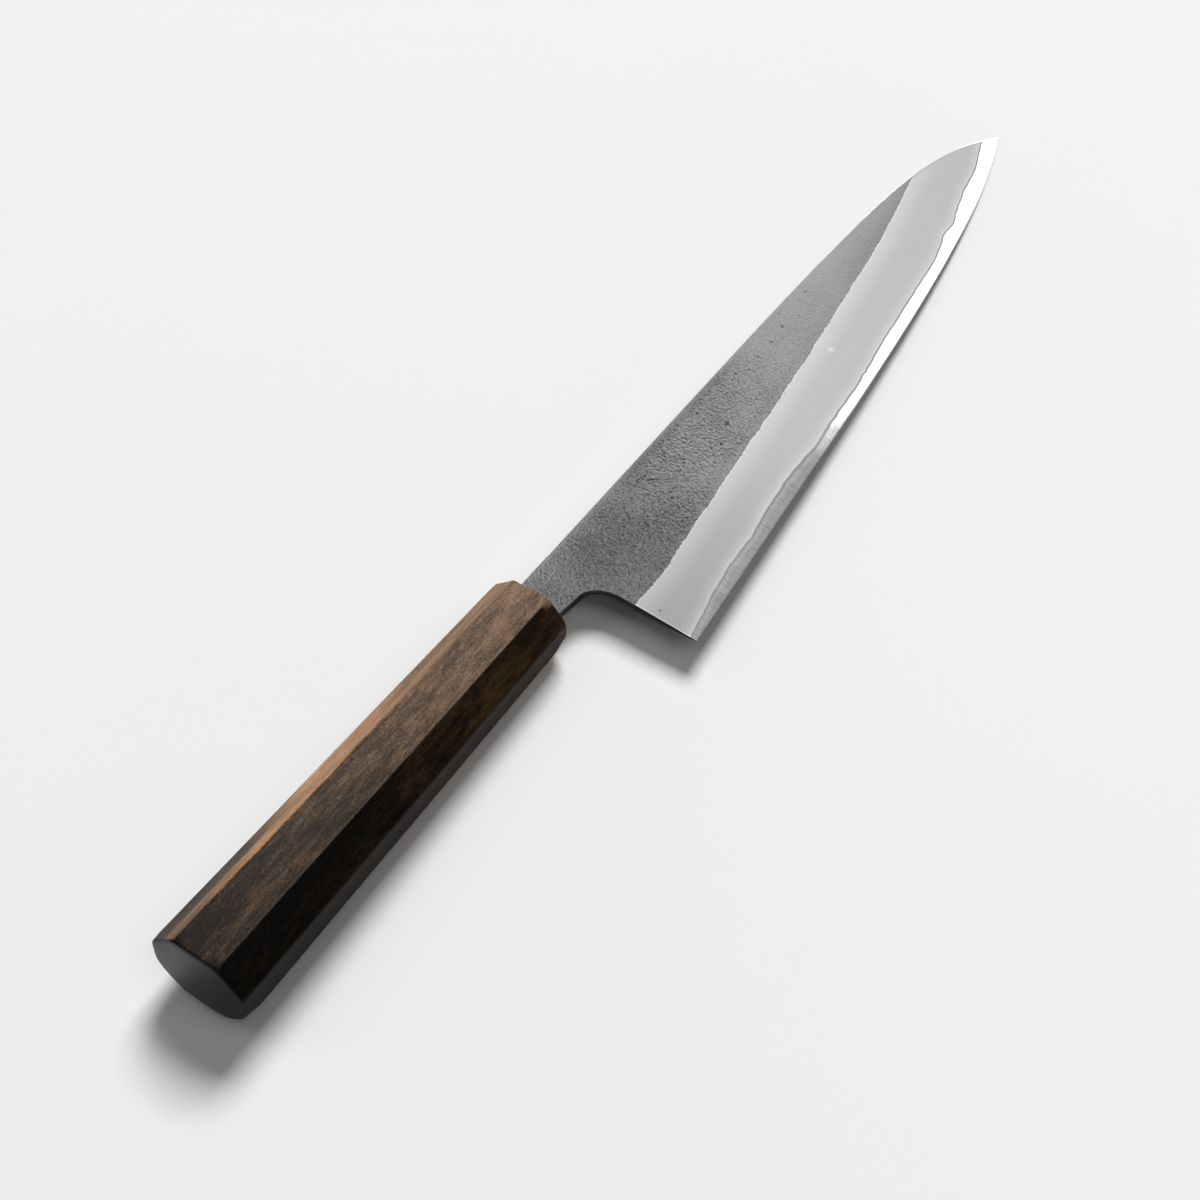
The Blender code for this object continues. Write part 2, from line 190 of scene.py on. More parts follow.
def value_noise(x, y, cell, seed):
    """Random values on a square lattice turned by an angle of its own, eased between its points; -1 to 1."""
    rng = np.random.default_rng(seed)
    turn = rng.random() * math.pi
    table = rng.random((256, 256)) * 2 - 1
    u = (x * math.cos(turn) - y * math.sin(turn)) / cell + 100.5
    v = (x * math.sin(turn) + y * math.cos(turn)) / cell + 100.5
    i, j = np.floor(u).astype(int), np.floor(v).astype(int)
    s, t = ease(0, 1, u - i), ease(0, 1, v - j)
    low = table[i % 256, j % 256] * (1 - s) + table[(i + 1) % 256, j % 256] * s
    high = table[i % 256, (j + 1) % 256] * (1 - s) + table[(i + 1) % 256, (j + 1) % 256] * s
    return low * (1 - t) + high * t


def cell_distance(x, y, cell, seed):
    """Distance to the nearest of one point strewn in each cell of a square lattice, in cells."""
    rng = np.random.default_rng(seed)
    strewn = rng.random((256, 256, 2)) * 0.9
    u, v = x / cell + 100.0, y / cell + 100.0
    i, j = np.floor(u).astype(int), np.floor(v).astype(int)
    nearest = np.full(np.shape(u), 9.0)
    for di in (-1, 0, 1):
        for dj in (-1, 0, 1):
            spot = strewn[(i + di) % 256, (j + dj) % 256]
            away = np.hypot(i + di + spot[..., 0] - u, j + dj + spot[..., 1] - v)
            nearest = np.minimum(nearest, away)
    return nearest


# ---------------------------------------------------------------- blade outline and section


def spine_y(x):
    """Straight, less a slow fall along the blade and a steep one at the tip."""
    share = np.clip(x / TIP_X, 0.0, 1.0)
    tip_fall = SPINE_HEIGHT + TIP_DEPTH - SPINE_SLOW_FALL
    return SPINE_HEIGHT - SPINE_SLOW_FALL * share**SPINE_SLOW_POWER - tip_fall * share**SPINE_TIP_POWER


def edge_y(x):
    """A line pitched up from the heel, plus the belly's power curve."""
    share = np.clip((x - HEEL_X) / BLADE_LENGTH, 0.0, 1.0)
    belly = HEEL_DEPTH - TIP_DEPTH - EDGE_PITCH_RISE
    return -HEEL_DEPTH + EDGE_PITCH_RISE * share + belly * share**EDGE_BELLY_POWER


def bevel_width(x):
    share = np.clip((x - HEEL_X) / BLADE_LENGTH, 0.0, 1.0)
    return BEVEL_WIDTH_HEEL + (BEVEL_WIDTH_TIP - BEVEL_WIDTH_HEEL) * share


def grind_line(x, seed):
    """Where the bevel starts, above the edge: an even width with the small wander of hand grinding.

    It lifts over the last few millimetres before the heel, where the wheel ran off.
    """
    still = x * 0
    run_off = HEEL_RUN_OFF * np.exp(-((np.maximum(x - HEEL_X, 0.0) / HEEL_RUN_OFF_LENGTH) ** 2))
    wander = 0.22 * value_noise(x, still, 9.0, seed) + 0.10 * value_noise(x, still, 2.6, seed + 1)
    return bevel_width(x) + wander + run_off


def weld_line(x, seed):
    """Where the core comes out, above the edge: a slow growth, the forging's swells and a fine ripple."""
    share = np.clip((x - HEEL_X) / BLADE_LENGTH, 0.0, 1.0)
    offset = WELD_LINE_HEEL + (WELD_LINE_TIP - WELD_LINE_HEEL) * share
    for along, height, half_width in WELD_SWELLS:
        offset = offset + height * np.exp(-(((x - HEEL_X - along) / half_width) ** 2))
    still = x * 0
    offset = offset + 0.16 * value_noise(x, still, 4.5, seed) + 0.13 * value_noise(x, still, 1.7, seed + 1)
    return offset * ease(-30.0, 12.0, x - HEEL_X)


def flat_half(x, y):
    """Half thickness on the flat: a plane that falls to the tip and down from the spine."""
    along = np.maximum(x, 0.0) / TIP_X
    spine = SPINE_HALF + (TIP_HALF - SPINE_HALF) * along - TANG_END_THIN * np.minimum(x, 0.0) / TANG_END_X
    return spine - FLAT_TAPER * (SPINE_HEIGHT - y)


def bevel_half(x, distance, width):
    """Half thickness on the ground bevel: a power of the share of its width, so a convex face."""
    full = flat_half(x, edge_y(x) + width)
    share = np.clip((distance - CUTTING_BEVEL_WIDTH) / (width - CUTTING_BEVEL_WIDTH), 0.0, 1.0)
    return CUTTING_BEVEL_HALF + (full - CUTTING_BEVEL_HALF) * share**BEVEL_CONVEXITY


def core_half(x):
    """Half thickness of the core under the claddings."""
    share = np.clip((x - HEEL_X) / BLADE_LENGTH, 0.0, 1.0)
    return 0.26 - 0.06 * share


def roughness_of_forging(x, y, from_spine, to_grind, seed):
    """How strongly the forged skin is textured: least near the handle, the tip, the spine and the bevel."""
    along = (0.55 + 0.45 * ease(12.0, 45.0, x)) * (1.0 - 0.78 * ease(85.0, 160.0, x))
    patches = 0.76 + 0.24 * value_noise(x, y, 9.0, seed)
    across = (0.35 + 0.65 * ease(0.6, 2.5, from_spine)) * (0.65 + 0.35 * ease(0.3, 2.5, to_grind))
    return along * patches * across


def forge_relief(x, y, strength, seed, scratches):
    """Height of the forged skin, at most 0: dimples, wrinkles and slow waves, with pits and scratches cut in.

    The dimples are the distance to strewn points, moved about by a slower noise, and the wrinkles are
    the ridges of a value noise that is drawn out along a wandering direction. The small pits lie
    closer together towards the spine.
    """
    wx = x + 0.45 * value_noise(x, y, 1.6, seed)
    wy = y + 0.45 * value_noise(x, y, 1.6, seed + 1)
    dimples = ease(0.10, 0.80, cell_distance(wx, wy, 1.15, seed + 2)) - 1
    wrinkles = np.abs(value_noise(wx + 0.5 * wy, wy * 1.5, 1.5, seed + 3)) - 1
    coarse = value_noise(x, y, 3.4, seed + 4) - 1
    relief = (DIMPLES * dimples + WRINKLES * wrinkles + COARSE_WAVES * coarse) * strength
    relief = relief + SLOW_WAVES * (value_noise(x, y, 11.0, seed + 5) - 1)
    rng = np.random.default_rng(seed + 6)
    for _ in range(SMALL_PITS):
        px, py = 5 + 150 * rng.random(), SPINE_HEIGHT - 0.8 - 27 * rng.random() ** 1.1
        radius, depth = 0.28 + 0.38 * rng.random() ** 3, 0.05 + 0.08 * rng.random()
        long_way = 0.7 + 0.6 * rng.random()
        hollow = 1 - ease(0.3, 1.0, np.hypot((x - px) / long_way, y - py) / radius)
        relief = relief - depth * hollow
    for px, py, radius in DEEP_PITS:
        hollow = 1 - ease(0.4, 1.0, np.hypot(x - px, y - py) / radius)
        relief = relief - DEEP_PIT_DEPTH * hollow
    for x0, y0, x1, y1 in scratches:
        length, lean = math.hypot(x1 - x0, y1 - y0), math.atan2(y1 - y0, x1 - x0)
        along = (x - x0) * math.cos(lean) + (y - y0) * math.sin(lean)
        across = (y - y0) * math.cos(lean) - (x - x0) * math.sin(lean) + 0.25 * np.sin(along * 1.3)
        ends = ease(0.0, 0.8, along) * ease(length, length - 0.8, along)
        relief = relief - SCRATCH_DEPTH * (1 - ease(0.10, 0.38, np.abs(across))) * ends
    largest = np.hypot((x - LARGE_PIT[0]) / 1.4, y - LARGE_PIT[1])
    return relief - LARGE_PIT_DEPTH * (1 - ease(0.3, 0.9, largest))


# ---------------------------------------------------------------- mesh helpers


def mesh_object(name, sections, caps=(True, True), attributes=None, smooth_angle=40.0):
    """A closed skin over rings of points: neighbouring rings are joined, and the two ends filled.

    Points that fall together, as where rows run out, are merged afterwards. None goes below the
    table, where the tip rests.
    """
    count, width = sections.shape[:2]
    index = np.arange(count * width).reshape(count, width)
    near, far = index[:-1], index[1:]
    quads = np.stack([near, np.roll(near, -1, 1), np.roll(far, -1, 1), far], axis=-1).reshape(-1, 4)
    mesh = bpy.data.meshes.new(name)
    faces = quads.tolist()
    if caps[0]:
        faces.append(index[0][::-1].tolist())
    if caps[1]:
        faces.append(index[-1].tolist())
    points = place(sections.reshape(-1, 3))
    points[:, 2] = np.maximum(points[:, 2], 0.0)
    mesh.from_pydata(points.tolist(), [], faces)
    knife_mm = mesh.attributes.new("knife_mm", "FLOAT_VECTOR", "POINT")
    knife_mm.data.foreach_set("vector", sections.reshape(-1).astype(np.float32))
    for key, values in (attributes or {}).items():
        layer = mesh.attributes.new(key, "FLOAT", "POINT")
        spread = np.broadcast_to(values, (count, width)).reshape(-1)
        layer.data.foreach_set("value", spread.astype(np.float32))
    bm = bmesh.new()
    bm.from_mesh(mesh)
    bmesh.ops.remove_doubles(bm, verts=bm.verts, dist=1e-7)
    bmesh.ops.dissolve_degenerate(bm, edges=bm.edges, dist=1e-8)
    bmesh.ops.recalc_face_normals(bm, faces=bm.faces)
    bm.to_mesh(mesh)
    bm.free()
    normals = np.empty(len(mesh.polygons) * 3, np.float32)
    mesh.polygons.foreach_get("normal", normals)
    _, up, out = (normals.reshape(-1, 3) @ TURN).T
    # faces that turn sideways or down, as under the neck and choil: the steel finishes paint shade on them
    under = mesh.attributes.new("under", "FLOAT", "FACE")
    under.data.foreach_set("value", ((np.abs(out) < 0.6) & (up < 0.35)).astype(np.float32))
    mesh.shade_smooth()
    mesh.set_sharp_from_angle(angle=math.radians(smooth_angle))
    obj = bpy.data.objects.new(name, mesh)
    bpy.context.scene.collection.objects.link(obj)
    return obj


def underside():
    """Underside of the tang, neck and choil as x, y pairs, with the x above each on the spine."""
    neck = np.linspace(SHOULDER_X, HEEL_X - CHOIL_REACH, 28)
    fall = NECK_FALL * np.clip(neck / (HEEL_X - CHOIL_REACH), 0, 1)
    angle = np.linspace(math.pi / 2, 0.0, 40)[1:]
    curve_x = HEEL_X - CHOIL_REACH * (1 - np.cos(angle))
    curve_y = -NECK_DEPTH - NECK_FALL - CHOIL_DROP * (1 - np.sin(angle))
    tang_x = np.array([TANG_END_X, SHOULDER_X - SHOULDER_RUN])
    tang_y = np.array([TANG_END_HALF, TANG_ROOT_HALF])
    x = np.concatenate([tang_x, neck, curve_x])
    low = np.concatenate([-tang_y, -NECK_DEPTH - fall, curve_y])
    high = np.concatenate([tang_y, spine_y(neck), spine_y(curve_x)])
    return x, low, high


def blade_stations(count, end_x):
    share = np.linspace(0.0, 1.0, count)
    return HEEL_X + (end_x - HEEL_X) * (1 - (1 - share) ** 1.15)


def meeting_x(rise):
    """Where a line above the edge meets the spine, by halving."""
    low, high = HEEL_X + BLADE_LENGTH / 2, TIP_X
    for _ in range(50):
        middle = (low + high) / 2
        below = edge_y(middle) + rise(np.array([middle]))[0] < spine_y(middle)
        low, high = (middle, high) if below else (low, middle)
    return (low + high) / 2


def outline_rows(shares, end_x, count, lines):
    """Rows of x, y points at each station, running through the spine and the lines below it.

    lines are functions of x giving heights above the edge, from the top one down, and shares holds
    one list of shares for each band between them. Before the heel every row below the first band
    lies on the underside.
    """
    ux, low, high = underside()
    x = blade_stations(count, end_x)
    top, edge = spine_y(x), edge_y(x)
    heights = [top] + [np.minimum(edge + line(x), top) for line in lines]
    first = np.array(shares[0])
    rest = sum(len(band) for band in shares[1:])
    x_all = np.concatenate([ux, [HEEL_X], x])
    corner = heights[1][0]
    low_all = np.concatenate([low, [corner]])
    high_all = np.concatenate([high, [spine_y(HEEL_X)]])
    before = high_all[:, None] + (low_all - high_all)[:, None] * first
    before = np.column_stack([before] + [low_all[:, None]] * rest)
    after = [heights[0][:, None] + (heights[1] - heights[0])[:, None] * first]
    for upper, lower, band in zip(heights[1:], heights[2:], shares[1:]):
        after.append(upper[:, None] + (lower - upper)[:, None] * np.array(band))
    y = np.vstack([before, np.column_stack(after)])
    return np.broadcast_to(x_all[:, None], y.shape), y


def blade_lines(x, y, grind_seed, weld_seed):
    """Distances in millimetres that the steel's finishes follow."""
    from_edge = np.where(x < HEEL_X - 1e-6, 60.0, y - edge_y(x))
    return {
        "from_spine": spine_y(x) - y,
        "from_edge": from_edge,
        "below_grind": grind_line(x, grind_seed) - from_edge,
        "above_weld": from_edge - weld_line(x, weld_seed),
        "past_heel": x - HEEL_X,
    }


# ---------------------------------------------------------------- blade pieces


def cladding(name, side, seed, stations, flat_rows, bevel_rows, scratches):
    """An outer layer: a ring at each station runs over its outer face, then back along the core."""
    grind_seed, weld_seed = seed + 20, seed + 30
    fine = [0.0, 0.003, 0.007, 0.012, 0.018]
    flat = fine + np.linspace(0.03, 1.0, flat_rows).tolist()
    bevel = np.linspace(0.0, 1.0, bevel_rows)[1:].tolist()
    lines = (lambda x: grind_line(x, grind_seed), lambda x: weld_line(x, weld_seed))
    end_x = meeting_x(lines[1])
    x, y = outline_rows([flat, bevel], end_x, stations, lines)
    marks = blade_lines(x, y, grind_seed, weld_seed)
    after_heel = x > HEEL_X - 1e-6
    ground = bevel_half(x, marks["from_edge"], grind_line(x, grind_seed))
    outer = np.where(after_heel, np.minimum(flat_half(x, y), ground), flat_half(x, y))
    on_flat = np.where(after_heel, ease(0.0, 0.35, -marks["below_grind"]), 1.0)
    strength = roughness_of_forging(x, y, marks["from_spine"], -marks["below_grind"], seed + 40)
    relief = forge_relief(x, y, strength, seed, scratches) * on_flat * ease(-1.0, 1.5, x)
    rounding = np.clip(SPINE_ROUNDING - marks["from_spine"], 0.0, SPINE_ROUNDING)
    rounding = SPINE_ROUNDING - np.sqrt(SPINE_ROUNDING**2 - rounding**2)
    inner = core_half(x) + WELD_GAP
    outer = np.maximum(outer + relief - np.minimum(rounding, 0.5 * (outer - inner)), inner + 0.005)
    face = np.stack([x, y, outer * side], axis=-1)
    back = np.stack([x[:, [-1, 0]], y[:, [-1, 0]], inner[:, [-1, 0]] * side], axis=-1)
    attributes = {key: np.column_stack([value, value[:, [-1, 0]]]) for key, value in marks.items()}
    for key, value in (("relief", relief), ("forging", strength)):
        attributes[key] = np.column_stack([value, 0 * value[:, [-1, 0]]])
    return mesh_object(name, np.concatenate([face, back], axis=1), attributes=attributes, smooth_angle=35)


def core_steel(right_seed, left_seed, stations):
    """The hard middle layer: its two faces run down to the cutting edge."""
    halves = []
    for seed in (right_seed, left_seed):
        grind_seed, weld_seed = seed + 20, seed + 30
        lines = (
            lambda x: weld_line(x, weld_seed) + 0.6,
            lambda x: weld_line(x, weld_seed) - 0.02,
            lambda x: x * 0 + CUTTING_BEVEL_WIDTH,
            lambda x: x * 0,
        )
        shares = [[0.0, 1.0], [1.0], np.linspace(0.0, 1.0, 14)[1:].tolist(), [0.25, 0.5, 0.75, 1.0]]
        x, y = outline_rows(shares, TIP_X, stations, lines)
        marks = blade_lines(x, y, grind_seed, weld_seed)
        after_heel = x > HEEL_X - 1e-6
        ground = bevel_half(x, marks["from_edge"], grind_line(x, grind_seed))
        cutting = np.clip(marks["from_edge"] / CUTTING_BEVEL_WIDTH, 0, 1)
        sharp = EDGE_HALF + (CUTTING_BEVEL_HALF - EDGE_HALF) * cutting
        half = np.where(cutting < 1, sharp, ground)
        hidden = (marks["above_weld"] > -0.01) | ~after_heel
        half = np.where(hidden, np.minimum(core_half(x), np.where(after_heel, half, 9.0)), half)
        halves.append((x, y, half, marks))
    (x, y, right, marks), (_, left_y, left, left_marks) = halves
    upper = np.stack([x, y, right], axis=-1)
    lower = np.stack([x, left_y, -left], axis=-1)[:, ::-1]
    attributes = {key: np.column_stack([marks[key], left_marks[key][:, ::-1]]) for key in marks}
    return mesh_object("core_faces", np.concatenate([upper, lower], axis=1), attributes=attributes)


# ---------------------------------------------------------------- handle


def octagon_ring(half_height, half_thickness, chamfer, crown, points, softening):
    """A ring of y, z round an octagon: straight facets with a slight crown, corners eased.

    Each facet's points are spread evenly and pushed out by crown times (1 - (2t - 1)^2), and then
    every point takes a running mean over its neighbours, as often as softening says, which rounds
    the corners.
    """
    h, t, c = half_height, half_thickness, chamfer
    corners = np.array(
        [(h, t - c), (h - c, t), (c - h, t), (-h, t - c), (-h, c - t), (c - h, -t), (h - c, -t), (h, c - t)]
    )
    following = np.roll(corners, -1, axis=0)
    side = following - corners
    outward = np.column_stack([side[:, 1], -side[:, 0]]) * -1
    outward /= np.linalg.norm(outward, axis=1)[:, None]
    share = np.arange(points) / points
    ring = corners[:, None] + side[:, None] * share[None, :, None]
    ring = ring + outward[:, None] * (crown * (1 - (2 * share - 1) ** 2))[None, :, None]
    ring = ring.reshape(-1, 2)
    for _ in range(softening):
        ring = (np.roll(ring, 1, axis=0) + 2 * ring + np.roll(ring, -1, axis=0)) / 4
    return ring


def handle_body():
    """The handle as one skin: out over the domed butt, along the facets, over the front and down the bore.

    The butt's dome is a power of the share of its radius. Each end has a quarter-round rim, and the
    facets' corners soften towards both ends, where sanding wears them most, above all under the butt
    and on the edge's side of the front.
    """
    turn = np.linspace(0.0, math.pi / 2, 9)
    round_in, round_along = 1 - np.sin(turn), 1 - np.cos(turn)
    rim_x = -HANDLE_LENGTH + BUTT_DOME
    butt_x = rim_x + RIM_ROUNDING * round_along
    body_x = np.linspace(rim_x + RIM_ROUNDING, -FRONT_ROUNDING, HANDLE_RINGS)[1:-1]
    front_x = -FRONT_ROUNDING * round_in
    x = np.concatenate([butt_x, body_x, front_x])
    inset = np.concatenate([RIM_ROUNDING * round_in, body_x * 0, FRONT_ROUNDING * round_along])
    rings = []
    for at, inward in zip(x, inset):
        share = np.clip(1 + at / HANDLE_LENGTH, 0, 1)
        h, t, c = (b + (f - b) * share for b, f in zip(BUTT_SECTION, FRONT_SECTION))
        softening = 1 + int(6 * ease(-2.5, -0.2, at) + 14 * ease(rim_x + 1.0, rim_x, at))
        section = (h - FACET_CROWN, t - FACET_CROWN, c, FACET_CROWN, FACET_POINTS)
        ring = octagon_ring(*section, softening)
        wear = ease(rim_x + 5.0, rim_x, at) + ease(-5.0, 0.0, at)
        worn = octagon_ring(*section, softening + int(90 * wear))
        underneath = ease(1.5, -4.0, ring[:, 1])
        front_edge_side = ease(-3.0, -9.0, ring[:, 0]) * ease(-6.0, -4.0, at)
        ring = ring + (worn - ring) * np.maximum(underneath, front_edge_side)[:, None]
        shrink = np.array([1 - inward / h, 1 - inward / t])
        rings.append(np.column_stack([np.full(len(ring), at), ring * shrink]))
    first, last = rings[0], rings[-1]
    dome = []
    for share in np.linspace(0.04, 0.97, 16):
        ring = first * np.array([1, share, share])
        ring[:, 0] = rim_x - (BUTT_DOME + BUTT_CROWN) * (1 - share**BUTT_DOME_POWER)
        dome.append(ring)
    angle = np.arctan2(last[:, 2], last[:, 1])
    mouth = np.column_stack([last[:, 0], MOUTH_HALF_HEIGHT * np.cos(angle), BORE_RADIUS * np.sin(angle)])
    bore = mouth * np.array([1, BORE_RADIUS / MOUTH_HALF_HEIGHT, 1])
    inner = [last * 0.5 + mouth * 0.5, mouth]
    for depth, ring in ((3.0, mouth), (3.5, bore), (BORE_DEPTH, bore)):
        inner.append(ring * np.array([0, 1, 1]) + np.array([-depth, 0, 0]))
    return mesh_object("handle_skin", np.array(dome + rings + inner), smooth_angle=60)


def mouth_seal():
    """A bead round the neck: a rounded rectangle carried out of the mouth, its front face a quarter round."""
    centre = (SPINE_HEIGHT - NECK_DEPTH) / 2
    half_height = (SPINE_HEIGHT + NECK_DEPTH) / 2
    count = 48
    angle = np.linspace(0, 2 * math.pi, count * 4, endpoint=False)
    power = 0.22
    back, inside, proud, width = -2.7, 0.08, 0.75, 0.85

    def ring(x, grow):
        y = np.sign(np.cos(angle)) * np.abs(np.cos(angle)) ** power * (half_height + grow)
        z = np.sign(np.sin(angle)) * np.abs(np.sin(angle)) ** power * (SPINE_HALF + grow)
        return np.column_stack([np.full(len(angle), x), centre + y, z])

    turn = np.linspace(0, math.pi / 2, 8)
    rings = [ring(back, inside), ring(back, width)]
    rings += [ring(proud * math.sin(a), inside + (width - inside) * math.cos(a)) for a in turn]
    rings.append(ring(-2.6, 0.06))
    return mesh_object("seal_bead", np.array(rings), caps=(False, False), smooth_angle=50)


# ---------------------------------------------------------------- shader expressions


class Value:
    """A node's output that stands in Python expressions: each operator adds one Math node."""

    def __init__(self, shader, socket):
        self.shader = shader
        self.socket = socket

    def math(self, operation, *others, clamp=False):
        return self.shader.add(
            "ShaderNodeMath", {"operation": operation, "use_clamp": clamp}, dict(enumerate((self, *others)))
        )

    def __add__(self, other):
        return self.math("ADD", other)

    def __sub__(self, other):
        return self.math("SUBTRACT", other)

    def __rsub__(self, other):
        return self.shader.add("ShaderNodeMath", {"operation": "SUBTRACT"}, {0: other, 1: self})

    def __mul__(self, other):
        return self.math("MULTIPLY", other)

    def __truediv__(self, other):
        return self.math("DIVIDE", other)

    def __pow__(self, other):
        return self.math("POWER", other)

    __radd__ = __add__
    __rmul__ = __mul__

    def clamp(self):
        return self.math("ADD", 0.0, clamp=True)

    def ease(self, low, high):
        """0 below low, 1 above high, a smooth cubic between."""
        return self.shader.add(
            "ShaderNodeMapRange",
            {"interpolation_type": "SMOOTHSTEP"},
            {"Value": self, "From Min": low, "From Max": high},
        )


class Shader:
    """A material's nodes. add() makes any node, and the rest are shorthands for it."""

    def __init__(self, name):
        self.material = bpy.data.materials.new(name)
        self.material.use_nodes = True
        self.tree = self.material.node_tree
        self.principled = self.tree.nodes["Principled BSDF"]

    def add(self, kind, settings=None, inputs=None, output=0):
        node = self.tree.nodes.new(kind)
        for key, value in (settings or {}).items():
            if key == "stops":
                self.set_stops(node.color_ramp, value)
            else:
                setattr(node, key, value)
        for key, value in (inputs or {}).items():
            self.feed(node.inputs[key], value)
        return Value(self, node.outputs[output])

    def feed(self, socket, value):
        if isinstance(value, Value):
            self.tree.links.new(value.socket, socket)
        else:
            socket.default_value = value

    def set_stops(self, ramp, stops):
        while len(ramp.elements) < len(stops):
            ramp.elements.new(0.5)
        for element, (position, colour) in zip(ramp.elements, stops):
            element.position = position
            element.color = (*colour, 1.0)

    def attribute(self, name):
        return self.add("ShaderNodeAttribute", {"attribute_name": name}, output="Fac")

    def place(self, scale=(1, 1, 1), shift=(0, 0, 0)):
        """Position in the knife's frame in millimetres, scaled and shifted."""
        at = self.add("ShaderNodeAttribute", {"attribute_name": "knife_mm"}, output="Vector")
        inputs = {0: at, "Location": shift, "Scale": scale}
        return self.add("ShaderNodeMapping", {"vector_type": "POINT"}, inputs)

    def noise(self, where, scale, detail=2.0, roughness=0.5, distortion=0.0):
        """Noise from 0 to 1, with an average of a half."""
        inputs = {"Vector": where, "Scale": scale, "Detail": detail}
        inputs.update({"Roughness": roughness, "Distortion": distortion})
        return self.add("ShaderNodeTexNoise", None, inputs)

    def near(self, x, y, spot, radius):
        """Distance from a spot in the plane of the blade, in radii."""
        away = ((x - spot[0]) ** 2 + (y - spot[1]) ** 2) ** 0.5
        return away / radius

    def colour_mix(self, factor, first, second):
        first, second = (c if isinstance(c, Value) else (*c, 1.0) for c in (first, second))
        return self.add("ShaderNodeMix", {"data_type": "RGBA"}, {0: factor, 6: first, 7: second}, 2)

    def blend(self, factor, first, second):
        return self.add("ShaderNodeMix", {"data_type": "FLOAT"}, {0: factor, 2: first, 3: second})

    def ramp(self, factor, stops):
        return self.add("ShaderNodeValToRGB", {"stops": stops}, {0: factor})

    def split(self, vector):
        first = self.add("ShaderNodeSeparateXYZ", None, {0: vector})
        return [Value(self, output) for output in first.socket.node.outputs]

    def grey(self, value):
        return self.add("ShaderNodeCombineColor", None, {0: value, 1: value, 2: value})

    def bump(self, height, distance):
        """distance is in metres for a height of 1."""
        normal = self.add("ShaderNodeBump", None, {"Distance": distance, "Height": height})
        self.feed(self.principled.inputs["Normal"], normal)

    def surface(self, **inputs):
        for key, value in inputs.items():
            self.feed(self.principled.inputs[key.replace("_", " ")], value)
        return self.material


# ---------------------------------------------------------------- materials


